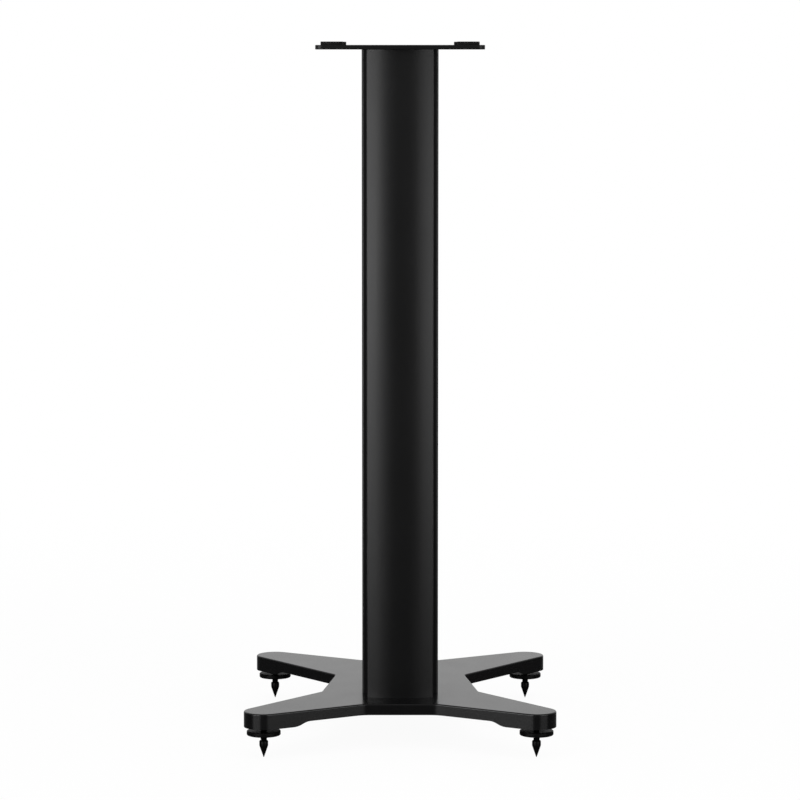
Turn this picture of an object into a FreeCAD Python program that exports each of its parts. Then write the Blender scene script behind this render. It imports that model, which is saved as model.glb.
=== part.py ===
import FreeCAD, Part

# Speaker stand: a four-armed base plate on levelling spikes, a hollow
# extruded column and a thin top plate with four round pads.
# Millimetres. Origin on the floor under the middle of the stand,
# front towards -Y, right-hand side towards +X, up +Z.

import math
import os

import Sketcher
from FreeCAD import Vector

# ---------------------------------------------------------------- dimensions

DIMENSIONS = {
    # Spikes: turned from one bar, point down, long threaded stud up.
    "spike_x": 120.3,            # spike axis, left and right of the middle
    "spike_y": 138.5,            # spike axis, front and back of the middle
    "tip_radius": 0.3,           # blunted point
    "cone_top": 10.5,            # height of the cone above the floor
    "spike_radius": 3.9,
    "spike_top": 14.5,           # top of the round body
    "shoulder": 0.9,             # bevel from the body to the stud
    "stud_radius": 3.0,          # M6
    "stud_top": 37.0,
    "stud_chamfer": 0.6,
    "run_clearance": 0.05,       # radial, every thread that turns
    # Levelling disc, fast on the stud, turned by hand.
    "disc_radius": 15.0,
    "disc_under": 20.0,
    "disc_thickness": 4.0,
    "disc_edge": 0.9,
    # Threaded insert, pressed up into the foot of each arm.
    "insert_radius": 4.5,
    "insert_length": 11.5,
    "insert_chamfer": 0.5,
    "insert_groove": 0.35,
    "stud_room": 1.3,            # blind hole above the insert
    "stud_room_radius": 3.3,
    # Base plate: four tapering arms, thicker round each spike.
    "foot_under": 27.5,
    "plate_under": 31.5,
    "plate_top": 41.5,
    "arm_end_radius": 17.5,
    "notch_half_width": 32.5,    # flat between the two front or back arms
    "notch_y": 108.5,
    "notch_fillet": 25.0,
    "waist_front_x": 71.2,       # flat between the two arms of one side
    "waist_front_y": 48.2,
    "waist_rear_x": 60.2,
    "waist_rear_y": 34.2,
    "waist_fillet": 7.0,
    "plate_edge": 1.2,           # easing of the upper rim
    "boss_flat_radius": 27.0,    # thick, flat part round the spike
    "boss_foot_radius": 42.0,    # where the boss has run out
    "boss_lap": 0.03,            # how far its slope runs up into the plate
    # Column: hollow extrusion, a narrower bowed nose in front and behind.
    "column_top": 621.0,
    "column_half_width": 34.2,
    "ledge_y": 56.0,             # where the nose starts
    "nose_half_width": 29.6,
    "nose_side_y": 76.75,        # where the flat side of the nose ends
    "nose_radius": 105.0,        # bowed face
    "nose_edge": 1.3,
    "ledge_edge": 1.6,
    "wall": 2.5,
    "port_x": 26.0,              # screw ports in the corners of the chambers
    "port_y": 48.0,
    "port_radius": 6.5,
    "port_bore_radius": 3.0,
    # Top plate and its pads.
    "top_width": 149.0,
    "top_depth": 200.0,
    "top_thickness": 4.0,
    "top_corner": 6.0,
    "top_edge": 0.4,
    "pad_x": 60.0,
    "pad_y": 85.0,
    "pad_radius": 10.0,
    "pad_thickness": 3.0,
    "pad_edge": 0.5,
    # Screws, M6: countersunk through the top plate, cap heads under the base.
    "screw_radius": 2.95,
    "screw_hole_radius": 3.2,
    "top_screw_length": 16.0,
    "sink_radius": 6.0,
    "sink_clearance": 0.45,
    "socket_flats": 4.0,
    "socket_depth": 2.4,
    "base_screw_length": 16.0,
    "head_radius": 5.0,
    "head_height": 6.0,
    "head_edge": 0.5,
    "head_flats": 5.0,
    "head_socket_depth": 3.0,
    "recess_radius": 5.5,
    "recess_depth": 7.0,
}

ARMS = {
    "front_left": (-1, -1),
    "front_right": (1, -1),
    "back_left": (-1, 1),
    "back_right": (1, 1),
}

doc = FreeCAD.newDocument("SpeakerStand")
sheet = doc.addObject("Spreadsheet::Sheet", "Dims")
for row, (alias, number) in enumerate(DIMENSIONS.items(), start=1):
    sheet.set(f"A{row}", alias)
    sheet.set(f"B{row}", str(number))
    sheet.setAlias(f"B{row}", alias)
doc.recompute()

nodes = []


# ------------------------------------------------------------------- helpers

def cell(text):
    """Turns a formula of plain dimension names into one of sheet cells."""
    words = sorted(DIMENSIONS, key=len, reverse=True)
    marked = text
    for index, word in enumerate(words):
        marked = marked.replace(word, f"<{index}>")
    for index, word in enumerate(words):
        marked = marked.replace(f"<{index}>", f"Dims.{word}")
    return marked


def size(text):
    """The present value of a formula of dimension names, in millimetres."""
    value = sheet.evalExpression(cell(text))
    return float(getattr(value, "Value", value))


def signed(sign, text):
    """The formula, negated where sign is below zero."""
    return text if sign > 0 else f"-({text})"


def bind(thing, **formulas):
    """Ties properties of an object to the sheet."""
    for name, text in formulas.items():
        thing.setExpression(name, cell(text))


def place(thing, x="0", y="0", z="0"):
    """Ties an object's position to the sheet."""
    for axis, text in (("x", x), ("y", y), ("z", z)):
        thing.setExpression(f".Placement.Base.{axis}", cell(text))


def new_body(label):
    """A PartDesign body under its own label."""
    body = doc.addObject("PartDesign::Body", label)
    body.Label = label
    return body


def origin_plane(body, role):
    """The body's own origin plane of that role."""
    return next(f for f in body.Origin.OriginFeatures if f.Role == role)


def new_sketch(body, name, role="XY_Plane", height=None):
    """A sketch flat on one of the body's planes, lifted to a height."""
    sketch = body.newObject("Sketcher::SketchObject", name)
    sketch.AttachmentSupport = (origin_plane(body, role), [""])
    sketch.MapMode = "FlatFace"
    if height is not None:
        sketch.setExpression(".AttachmentOffset.Base.z", cell(height))
    return sketch


def pin(sketch, geometry, point, x, y):
    """Holds one point of a sketch at a place given by two formulas."""
    for kind, axis, text in (("DistanceX", -2, x), ("DistanceY", -1, y)):
        value = size(text)
        if abs(value) < 1e-9:
            sketch.addConstraint(Sketcher.Constraint("PointOnObject", geometry, point, axis))
            continue
        ends = (-1, 1, geometry, point) if value > 0 else (geometry, point, -1, 1)
        index = sketch.addConstraint(Sketcher.Constraint(kind, *ends, abs(value)))
        sketch.setExpression(f"Constraints[{index}]", cell(signed(value, text)))


def join(sketch, first, first_point, second, second_point):
    """Makes two points of a sketch one."""
    sketch.addConstraint(
        Sketcher.Constraint("Coincident", first, first_point, second, second_point))


def draw_line(sketch, start, end):
    """Adds a straight line between two pairs of formulas; returns its number."""
    (x0, y0), (x1, y1) = start, end
    return sketch.addGeometry(
        Part.LineSegment(Vector(size(x0), size(y0), 0), Vector(size(x1), size(y1), 0)), False)


def draw_polygon(sketch, corners):
    """Adds a closed outline whose corners are pairs of formulas."""
    lines = [draw_line(sketch, a, b) for a, b in zip(corners, corners[1:] + corners[:1])]
    for line, after in zip(lines, lines[1:] + lines[:1]):
        join(sketch, line, 2, after, 1)
    for line, (x, y) in zip(lines, corners):
        pin(sketch, line, 1, x, y)


def draw_path(sketch, corners):
    """Adds an open run of lines, pinned at its inner corners; returns their numbers."""
    lines = [draw_line(sketch, a, b) for a, b in zip(corners, corners[1:])]
    for line, after, (x, y) in zip(lines, lines[1:], corners[1:]):
        join(sketch, line, 2, after, 1)
        pin(sketch, line, 2, x, y)
    return lines


def draw_rectangle(sketch, x, y):
    """Adds a rectangle between two pairs of formulas, for x and for y."""
    draw_polygon(sketch, [(x[0], y[0]), (x[1], y[0]), (x[1], y[1]), (x[0], y[1])])


def draw_circle(sketch, x, y, radius):
    """Adds a circle with its centre and radius tied to the sheet."""
    ring = sketch.addGeometry(
        Part.Circle(Vector(size(x), size(y), 0), Vector(0, 0, 1), size(radius)), False)
    pin(sketch, ring, 3, x, y)
    index = sketch.addConstraint(Sketcher.Constraint("Radius", ring, size(radius)))
    sketch.setExpression(f"Constraints[{index}]", cell(radius))


def add_pad(body, sketch, length, name="Pad"):
    """Raises a sketch by a length."""
    pad = body.newObject("PartDesign::Pad", name)
    pad.Profile = sketch
    bind(pad, Length=length)
    doc.recompute()
    return pad


def add_pocket(body, sketch, length=None, name="Pocket", upwards=False):
    """Cuts a sketch down into the body, or right through it."""
    before = body.Shape.Volume
    pocket = body.newObject("PartDesign::Pocket", name)
    pocket.Profile = sketch
    pocket.Reversed = upwards
    if length is None:
        pocket.Type = "ThroughAll"
        pocket.Midplane = True
    else:
        bind(pocket, Length=length)
    doc.recompute()
    assert body.Shape.Volume < before - 1e-3, f"{pocket.Label} cuts nothing"
    return pocket


def add_turning(body, sketch, name="Revolution"):
    """Turns a sketch on the XZ plane about the body's upright axis."""
    turning = body.newObject("PartDesign::Revolution", name)
    turning.Profile = sketch
    turning.ReferenceAxis = (sketch, ["V_Axis"])
    turning.Angle = 360
    doc.recompute()
    return turning


def add_rounding(body, feature, wanted, radius, kind="Fillet"):
    """Rounds or bevels the edges of a feature that the test picks."""
    picked = [f"Edge{i}" for i, edge in enumerate(feature.Shape.Edges, start=1) if wanted(edge)]
    assert picked, f"{feature.Label} has no edge to round"
    rounding = body.newObject(f"PartDesign::{kind}", kind)
    rounding.Base = (feature, picked)
    bind(rounding, **{"Radius" if kind == "Fillet" else "Size": radius})
    doc.recompute()
    return rounding


def is_upright(edge):
    """Whether an edge is a straight one along Z."""
    low, high = edge.Vertexes[0].Point, edge.Vertexes[-1].Point
    return math.hypot(low.x - high.x, low.y - high.y) < 1e-6 and abs(low.z - high.z) > 1e-6


def lies_at(edge, height):
    """Whether an edge is level and at a height."""
    box = edge.BoundBox
    return abs(box.ZMin - height) < 1e-4 and abs(box.ZMax - height) < 1e-4


def is_ring(edge, radius):
    """Whether an edge is a full circle of that radius."""
    return edge.Closed and abs(getattr(edge.Curve, "Radius", 0) - size(radius)) < 1e-4


def near(point, x, y, reach=0.5):
    """Whether a point is close to a place, seen from above."""
    return math.hypot(point.x - x, point.y - y) < reach


def turned_body(label, corners):
    """A body turned from a profile of (radius, height) formulas."""
    body = new_body(label)
    sketch = new_sketch(body, "Profile", "XZ_Plane")
    draw_polygon(sketch, corners)
    add_turning(body, sketch)
    return body


def cylinder(name, x, y, low, high, radius):
    """A plain cylinder between two heights, for cutting."""
    tool = doc.addObject("Part::Cylinder", name)
    bind(tool, Radius=radius, Height=f"({high}) - ({low})")
    place(tool, x, y, low)
    return tool


def keep(thing, label):
    """Names an object as a sub-part of the stand."""
    thing.Label = label
    nodes.append(thing)


# ---------------------------------------------------------------- base plate

def base_outline(sketch):
    """Draws the four-armed plan: round arm ends, tangent sides, flat notches."""
    outer, inner = {}, {}
    for arm, (side, end) in ARMS.items():
        waist = "waist_front" if end < 0 else "waist_rear"
        notch_corner = (signed(side, "notch_half_width"), signed(end, "notch_y"))
        waist_corner = (signed(side, f"{waist}_x"), signed(end, f"{waist}_y"))
        centre = Vector(side * size("spike_x"), end * size("spike_y"), 0)
        radius = size("arm_end_radius")

        def touch(corner, turn):
            """Where a line from a corner touches the round arm end."""
            start = Vector(size(corner[0]), size(corner[1]), 0)
            way = start - centre
            swing = turn * math.acos(radius / way.Length)
            angle = math.atan2(way.y, way.x) + swing
            return centre + Vector(math.cos(angle), math.sin(angle), 0) * radius

        handed = side * end
        outer_touch = touch(notch_corner, -handed)
        inner_touch = touch(waist_corner, handed)
        angles = [math.atan2(p.y - centre.y, p.x - centre.x) for p in (outer_touch, inner_touch)]
        first, last = (1, 0) if handed > 0 else (0, 1)
        arc = sketch.addGeometry(
            Part.ArcOfCircle(Part.Circle(centre, Vector(0, 0, 1), radius),
                             angles[first], angles[last] + 2 * math.pi), False)
        pin(sketch, arc, 3, signed(side, "spike_x"), signed(end, "spike_y"))
        index = sketch.addConstraint(Sketcher.Constraint("Radius", arc, radius))
        sketch.setExpression(f"Constraints[{index}]", cell("arm_end_radius"))
        ends = {first: 1, last: 2}
        for number, corner, point, table in ((0, notch_corner, outer_touch, outer),
                                             (1, waist_corner, inner_touch, inner)):
            start = Vector(size(corner[0]), size(corner[1]), 0)
            line = sketch.addGeometry(Part.LineSegment(start, point), False)
            pin(sketch, line, 1, *corner)
            sketch.addConstraint(Sketcher.Constraint("Tangent", line, 2, arc, ends[number]))
            table[arm] = (line, start)
    for one, other, table in (("front_left", "front_right", outer),
                              ("back_left", "back_right", outer),
                              ("front_left", "back_left", inner),
                              ("front_right", "back_right", inner)):
        (line_a, start_a), (line_b, start_b) = table[one], table[other]
        flat = sketch.addGeometry(Part.LineSegment(start_a, start_b), False)
        join(sketch, flat, 1, line_a, 1)
        join(sketch, flat, 2, line_b, 1)


def boss_profile(sketch):
    """Draws half of a foot's boss: flat, then an S-shaped run-out of two arcs."""
    run, rise = "(boss_foot_radius - boss_flat_radius)", "(plate_under + boss_lap - foot_under)"
    start = ("boss_flat_radius", "foot_under")
    middle = (f"boss_flat_radius + {run} / 2", f"foot_under + {rise} / 2")
    finish = ("boss_foot_radius", "plate_under + boss_lap")
    half_run, half_rise = size(f"{run} / 2"), size(f"{rise} / 2")
    radius = (half_run ** 2 + half_rise ** 2) / (2 * half_rise)
    turn = 2 * math.atan2(half_rise, half_run)
    top = -math.pi / 2
    up, out = Vector(0, radius, 0), Vector(0, 0, 1)
    first = sketch.addGeometry(Part.ArcOfCircle(
        Part.Circle(Vector(size(start[0]), size(start[1]), 0) + up, out, radius),
        top, top + turn), False)
    second = sketch.addGeometry(Part.ArcOfCircle(
        Part.Circle(Vector(size(finish[0]), size(finish[1]), 0) - up, out, radius),
        -top, -top + turn), False)
    lines = draw_path(sketch, [
        finish, ("boss_foot_radius", "plate_under + 1"), ("0", "plate_under + 1"),
        ("0", "foot_under"), start])
    pin(sketch, lines[-1], 2, *start)
    sketch.addConstraint(Sketcher.Constraint("Tangent", lines[-1], 2, first, 1))
    sketch.addConstraint(Sketcher.Constraint("Tangent", first, 2, second, 2))
    pin(sketch, first, 2, *middle)
    pin(sketch, second, 1, *finish)
    join(sketch, second, 1, lines[0], 1)


def make_base_plate():
    """The base plate: one thick casting, holed for the inserts and screws."""
    blank = new_body("base_blank")
    sketch = new_sketch(blank, "BasePlan", height="foot_under - 1")
    base_outline(sketch)
    pad = add_pad(blank, sketch, "plate_top - foot_under + 1")
    notch_x, notch_y = size("notch_half_width"), size("notch_y")
    waists = [(size(f"{w}_x"), end * size(f"{w}_y"))
              for w, end in (("waist_front", -1), ("waist_rear", 1))]
    notched = add_rounding(
        blank, pad,
        lambda e: is_upright(e) and near(Vector(abs(e.Vertexes[0].X), abs(e.Vertexes[0].Y), 0),
                                         notch_x, notch_y),
        "notch_fillet")
    waisted = add_rounding(
        blank, notched,
        lambda e: is_upright(e) and any(near(Vector(abs(e.Vertexes[0].X), e.Vertexes[0].Y, 0), *w)
                                        for w in waists),
        "waist_fillet")
    add_rounding(blank, waisted, lambda e: lies_at(e, size("plate_top")), "plate_edge")

    slab = doc.addObject("Part::Box", "Slab")
    bind(slab, Length="3 * spike_x", Width="3 * spike_y", Height="plate_top - plate_under + 1")
    place(slab, "-1.5 * spike_x", "-1.5 * spike_y", "plate_under")
    forms = [slab]
    for arm, (side, end) in ARMS.items():
        boss = new_body(f"boss_form_{arm}")
        boss_profile(new_sketch(boss, "BossProfile", "XZ_Plane"))
        add_turning(boss, boss.Group[-1])
        place(boss, signed(side, "spike_x"), signed(end, "spike_y"))
        forms.append(boss)
    under = doc.addObject("Part::MultiFuse", "UnderForm")
    under.Shapes = forms
    casting = doc.addObject("Part::Common", "Casting")
    casting.Base = blank
    casting.Tool = under

    holes = []
    for arm, (side, end) in ARMS.items():
        x, y = signed(side, "spike_x"), signed(end, "spike_y")
        top = "foot_under + insert_length"
        holes.append(cylinder(f"InsertHole_{arm}", x, y, "foot_under - 1", top, "insert_radius"))
        holes.append(cylinder(f"StudRoom_{arm}", x, y, f"{top} - 1", f"{top} + stud_room",
                              "stud_room_radius"))
        x, y = signed(side, "port_x"), signed(end, "port_y")
        holes.append(cylinder(f"ScrewHole_{arm}", x, y, "plate_under - 1", "plate_top + 1",
                              "screw_hole_radius"))
        holes.append(cylinder(f"ScrewRecess_{arm}", x, y, "plate_under - 1",
                              "plate_under + recess_depth", "recess_radius"))
    drills = doc.addObject("Part::MultiFuse", "BaseDrills")
    drills.Shapes = holes
    plate = doc.addObject("Part::Cut", "BasePlate")
    plate.Base = casting
    plate.Tool = drills
    doc.recompute()
    keep(plate, "base_plate")


# -------------------------------------------------------------------- column

def draw_bow(sketch, end, half, y, radius):
    """Adds the bowed front or back of a nose, pinned at both ends; returns its number."""
    bend, half_width = size(radius), size(half)
    centre = Vector(0, end * (size(y) - math.sqrt(bend ** 2 - half_width ** 2)), 0)
    middle, spread = end * math.pi / 2, math.asin(half_width / bend)
    bow = sketch.addGeometry(
        Part.ArcOfCircle(Part.Circle(centre, Vector(0, 0, 1), bend),
                         middle - spread, middle + spread), False)
    index = sketch.addConstraint(Sketcher.Constraint("Radius", bow, bend))
    sketch.setExpression(f"Constraints[{index}]", cell(radius))
    pin(sketch, bow, 1, signed(end, half), signed(end, y))
    pin(sketch, bow, 2, signed(-end, half), signed(end, y))
    return bow


def make_column():
    """The column: a hollow extrusion with two webs, a middle wall and ports."""
    column = new_body("column")
    outline = new_sketch(column, "Section", height="plate_top")
    bows = {end: draw_bow(outline, end, "nose_half_width", "nose_side_y", "nose_radius")
            for end in (-1, 1)}
    for side in (-1, 1):
        lines = draw_path(outline, [(signed(side, x), signed(end, y)) for end, x, y in (
            (-1, "nose_half_width", "nose_side_y"), (-1, "nose_half_width", "ledge_y"),
            (-1, "column_half_width", "ledge_y"), (1, "column_half_width", "ledge_y"),
            (1, "nose_half_width", "ledge_y"), (1, "nose_half_width", "nose_side_y"))])
        join(outline, lines[0], 1, bows[-1], 2 if side > 0 else 1)
        join(outline, lines[-1], 2, bows[1], 1 if side > 0 else 2)
    add_pad(column, outline, "column_top - plate_top")

    chambers = new_sketch(column, "Chambers", height="plate_top")
    inside = "column_half_width - wall"
    nose_inside, nose_depth = "nose_half_width - wall", "nose_side_y - wall"
    for end in (-1, 1):
        draw_rectangle(chambers, (f"-({inside})", inside),
                       (signed(end, "wall / 2"), signed(end, "ledge_y - wall")))
        bow = draw_bow(chambers, end, nose_inside, nose_depth, "nose_radius - wall")
        lines = draw_path(chambers, [(signed(x, nose_inside), signed(end, y)) for x, y in (
            (-end, nose_depth), (-end, "ledge_y"), (end, "ledge_y"), (end, nose_depth))])
        join(chambers, lines[0], 1, bow, 2)
        join(chambers, lines[-1], 2, bow, 1)
    add_pocket(column, chambers, name="Hollow")

    ports = new_sketch(column, "Ports", height="plate_top")
    bores = new_sketch(column, "PortBores", height="plate_top")
    for side, end in ARMS.values():
        x, y = signed(side, "port_x"), signed(end, "port_y")
        draw_circle(ports, x, y, "port_radius")
        draw_circle(bores, x, y, "port_bore_radius")
    add_pad(column, ports, "column_top - plate_top", "PortWalls")
    bored = add_pocket(column, bores, name="PortHoles")
    nose = size("nose_half_width")
    rounded = add_rounding(
        column, bored,
        lambda e: is_upright(e) and near(Vector(abs(e.Vertexes[0].X), abs(e.Vertexes[0].Y), 0),
                                         nose, size("nose_side_y")), "nose_edge")
    add_rounding(
        column, rounded,
        lambda e: is_upright(e) and near(Vector(abs(e.Vertexes[0].X), abs(e.Vertexes[0].Y), 0),
                                         size("column_half_width"), size("ledge_y")),
        "ledge_edge")
    keep(column, "column")


# ----------------------------------------------------------------- top plate

def make_top_plate():
    """The top plate: thin, round-cornered, countersunk for four screws."""
    plate = new_body("top_plate")
    sketch = new_sketch(plate, "TopPlan", height="column_top")
    draw_rectangle(sketch, ("-top_width / 2", "top_width / 2"), ("-top_depth / 2", "top_depth / 2"))
    slab = add_pad(plate, sketch, "top_thickness")
    cornered = add_rounding(plate, slab, is_upright, "top_corner")
    top = size("column_top + top_thickness")
    eased = add_rounding(plate, cornered,
                         lambda e: lies_at(e, top) or lies_at(e, size("column_top")),
                         "top_edge", "Chamfer")
    holes = new_sketch(plate, "ScrewHoles", height="column_top")
    for side, end in ARMS.values():
        draw_circle(holes, signed(side, "port_x"), signed(end, "port_y"), "screw_hole_radius")
    drilled = add_pocket(plate, holes, name="ScrewHoles")
    sink = add_rounding(plate, drilled,
                        lambda e: lies_at(e, top) and is_ring(e, "screw_hole_radius"),
                        "sink_radius + sink_clearance - screw_hole_radius", "Chamfer")
    assert sink.Shape.Volume < drilled.Shape.Volume < eased.Shape.Volume
    keep(plate, "top_plate")


def make_pads():
    """The four pads that the speaker rests on."""
    for arm, (side, end) in ARMS.items():
        pad = new_body(f"pad_{arm}")
        sketch = new_sketch(pad, "PadPlan")
        draw_circle(sketch, "0", "0", "pad_radius")
        raised = add_pad(pad, sketch, "pad_thickness")
        add_rounding(pad, raised, lambda e: lies_at(e, size("pad_thickness")), "pad_edge")
        place(pad, signed(side, "pad_x"), signed(end, "pad_y"), "column_top + top_thickness")
        keep(pad, f"top_pad_{arm}")


# -------------------------------------------------------------------- screws

def hexagon(sketch, flats):
    """Draws a hexagon about the origin, two of its flats facing +X and -X."""
    half, reach = f"{flats} / 2", f"{flats} / sqrt(3)"
    draw_polygon(sketch, [
        ("0", reach), (f"-{half}", f"{reach} / 2"), (f"-{half}", f"-{reach} / 2"),
        ("0", f"-{reach}"), (half, f"-{reach} / 2"), (half, f"{reach} / 2")])


def screw_group(label, corners, socket_flats, socket_depth, head_end, z, upwards):
    """Four like screws as one group of separate solids."""
    screws = []
    for arm, (side, end) in ARMS.items():
        screw = turned_body(f"{label}_{arm}", corners)
        sketch = new_sketch(screw, "Socket", height=head_end)
        hexagon(sketch, socket_flats)
        add_pocket(screw, sketch, socket_depth, name="Socket", upwards=upwards)
        place(screw, signed(side, "port_x"), signed(end, "port_y"), z)
        screws.append(screw)
    group = doc.addObject("Part::Compound", label)
    group.Links = screws
    doc.recompute()
    keep(group, label)


def make_screws():
    """The screws that hold the top plate and the base plate to the column."""
    screw_group(
        "top_screws",
        [("0", "-top_screw_length"), ("screw_radius - 0.5", "-top_screw_length"),
         ("screw_radius", "0.5 - top_screw_length"),
         ("screw_radius", "-(sink_radius - screw_radius) - 0.2"),
         ("sink_radius", "-0.2"), ("sink_radius", "0"), ("0", "0")],
        "socket_flats", "socket_depth", "0", "column_top + top_thickness - 0.1", False)
    screw_group(
        "base_screws",
        [("0", "-head_height"), ("head_radius - head_edge", "-head_height"),
         ("head_radius", "head_edge - head_height"), ("head_radius", "0"),
         ("screw_radius", "0"), ("screw_radius", "base_screw_length - 0.5"),
         ("screw_radius - 0.5", "base_screw_length"), ("0", "base_screw_length")],
        "head_flats", "head_socket_depth", "-head_height", "plate_under + recess_depth", True)


# ---------------------------------------------------------------------- feet

def make_feet():
    """Each foot: an insert in the arm, a spike with its stud and a disc."""
    for arm, (side, end) in ARMS.items():
        x, y = signed(side, "spike_x"), signed(end, "spike_y")
        bore = "stud_radius + run_clearance"
        groove = "insert_radius - insert_groove"
        insert = turned_body(f"insert_{arm}", [
            (bore, "0"), ("insert_radius - insert_chamfer", "0"),
            ("insert_radius", "insert_chamfer"),
            ("insert_radius", "insert_length * 0.4"), (groove, "insert_length * 0.45"),
            (groove, "insert_length * 0.55"), ("insert_radius", "insert_length * 0.6"),
            ("insert_radius", "insert_length"), (bore, "insert_length")])
        place(insert, x, y, "foot_under")
        keep(insert, f"thread_insert_{arm}")

        spike = turned_body(f"point_{arm}", [
            ("0", "0"), ("tip_radius", "0"), ("spike_radius", "cone_top"),
            ("spike_radius", "spike_top"), ("stud_radius", "spike_top + shoulder"),
            ("stud_radius", "stud_top - stud_chamfer"),
            ("stud_radius - stud_chamfer", "stud_top"), ("0", "stud_top")])
        place(spike, x, y)
        keep(spike, f"spike_{arm}")

        disc = turned_body(f"disc_{arm}", [
            (bore, "0"), ("disc_radius", "0"), ("disc_radius", "disc_thickness"),
            (bore, "disc_thickness")])
        rim = size("disc_radius")
        add_rounding(disc, disc.Tip, lambda e: abs(e.BoundBox.XMax - rim) < 1e-4
                     and e.BoundBox.ZLength < 1e-4, "disc_edge")
        place(disc, x, y, "disc_under")
        keep(disc, f"levelling_disc_{arm}")


make_base_plate()
make_column()
make_top_plate()
make_pads()
make_screws()
make_feet()
doc.recompute()

# ------------------------------------------------------------ test and write

for thing in doc.Objects:
    bad = {"Invalid", "Error"} & set(thing.State)
    assert not bad, f"{thing.Label} did not rebuild: {bad}"
for node in nodes:
    shape = node.Shape
    assert not shape.isNull() and shape.isValid(), f"{node.Label} has no valid shape"
    assert shape.Solids, f"{node.Label} holds no solid"

os.makedirs("parts", exist_ok=True)
for node in nodes:
    node.Shape.exportStep(os.path.join("parts", f"{node.Label}.step"))
    print(f"{node.Label}: {len(node.Shape.Solids)} solid(s), {node.Shape.Volume / 1000:.2f} cm3")
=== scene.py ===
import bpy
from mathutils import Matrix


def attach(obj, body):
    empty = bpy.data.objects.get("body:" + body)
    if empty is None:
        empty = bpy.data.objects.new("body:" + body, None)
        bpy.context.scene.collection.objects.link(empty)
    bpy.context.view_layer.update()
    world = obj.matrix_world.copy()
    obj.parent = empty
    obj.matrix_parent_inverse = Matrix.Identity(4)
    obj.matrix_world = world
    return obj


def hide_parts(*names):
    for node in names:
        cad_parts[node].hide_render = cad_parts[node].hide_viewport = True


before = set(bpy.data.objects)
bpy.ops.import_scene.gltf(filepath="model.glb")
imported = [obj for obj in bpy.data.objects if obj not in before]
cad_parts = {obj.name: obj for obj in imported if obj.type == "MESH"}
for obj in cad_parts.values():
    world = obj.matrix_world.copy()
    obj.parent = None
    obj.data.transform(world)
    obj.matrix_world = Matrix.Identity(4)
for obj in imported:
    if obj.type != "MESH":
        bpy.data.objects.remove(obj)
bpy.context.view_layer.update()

# Speaker stand, dressed for a photograph: satin black coated metal, turned
# and threaded feet, rubber pads. Metres; the front of the stand is -Y.

import logging
import math
from dataclasses import dataclass, field, replace
from enum import Enum
from functools import cache
from typing import Iterator, Mapping, Optional, Protocol, Sequence, Union

import bmesh
import bpy
from mathutils import Vector

LOG = logging.getLogger("speaker_stand")
MILLIMETRE = 0.001
FULL_TURN = 2 * math.pi

# The colour sockets of a Mix node, which share their names with its other kinds.
MIX_FIRST, MIX_SECOND, MIX_RESULT = 6, 7, 2

Colour = tuple[float, float, float]
Point = tuple[float, float, float]
Span = tuple[float, float]
Profile = Sequence[tuple[float, float]]


class Arm(Enum):
    """The four arms of the base, as the sides of the middle they reach to."""

    FRONT_LEFT = (-1, -1)
    FRONT_RIGHT = (1, -1)
    BACK_LEFT = (-1, 1)
    BACK_RIGHT = (1, 1)

    @property
    def label(self) -> str:
        """The arm's name as the nodes and bodies spell it."""
        return self.name.lower()


# ------------------------------------------------------------- shader maths

class Term:
    """A node socket that takes part in ordinary sums."""

    def __init__(self, recipe: "Recipe", socket: bpy.types.NodeSocket) -> None:
        """Wraps one output socket.

        Args:
            recipe: The node tree that the socket belongs to.
            socket: The output socket.
        """
        self.recipe = recipe
        self.socket = socket

    def _math(self, operation: str, *values: "Value") -> "Term":
        """Adds a Math node.

        Args:
            operation: The Math node's operation.
            values: Its inputs, in order.

        Returns:
            The node's result.
        """
        return self.recipe.add("ShaderNodeMath", {"operation": operation}, dict(enumerate(values)))

    def __add__(self, other: "Value") -> "Term":
        """self + other."""
        return self._math("ADD", self, other)

    __radd__ = __add__

    def __sub__(self, other: "Value") -> "Term":
        """self - other."""
        return self._math("SUBTRACT", self, other)

    def __rsub__(self, other: "Value") -> "Term":
        """other - self."""
        return self._math("SUBTRACT", other, self)

    def __mul__(self, other: "Value") -> "Term":
        """self * other."""
        return self._math("MULTIPLY", self, other)

    __rmul__ = __mul__

    def __truediv__(self, other: "Value") -> "Term":
        """self / other."""
        return self._math("DIVIDE", self, other)

    def __rtruediv__(self, other: "Value") -> "Term":
        """other / self."""
        return self._math("DIVIDE", other, self)

    def __neg__(self) -> "Term":
        """-self."""
        return self._math("MULTIPLY", self, -1.0)

    def __abs__(self) -> "Term":
        """The value without its sign."""
        return self._math("ABSOLUTE", self)

    def sine(self) -> "Term":
        """The sine of the value."""
        return self._math("SINE", self)

    def cosine(self) -> "Term":
        """The cosine of the value."""
        return self._math("COSINE", self)

    def root(self) -> "Term":
        """The square root."""
        return self._math("SQRT", self)

    def largest(self, other: "Value") -> "Term":
        """The larger of the two values."""
        return self._math("MAXIMUM", self, other)

    def smallest(self, other: "Value") -> "Term":
        """The smaller of the two values."""
        return self._math("MINIMUM", self, other)

    def part(self, name: str) -> "Term":
        """Another output of the same node."""
        return Term(self.recipe, self.socket.node.outputs[name])


Value = Union[Term, float, int, str, Sequence[float]]


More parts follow.
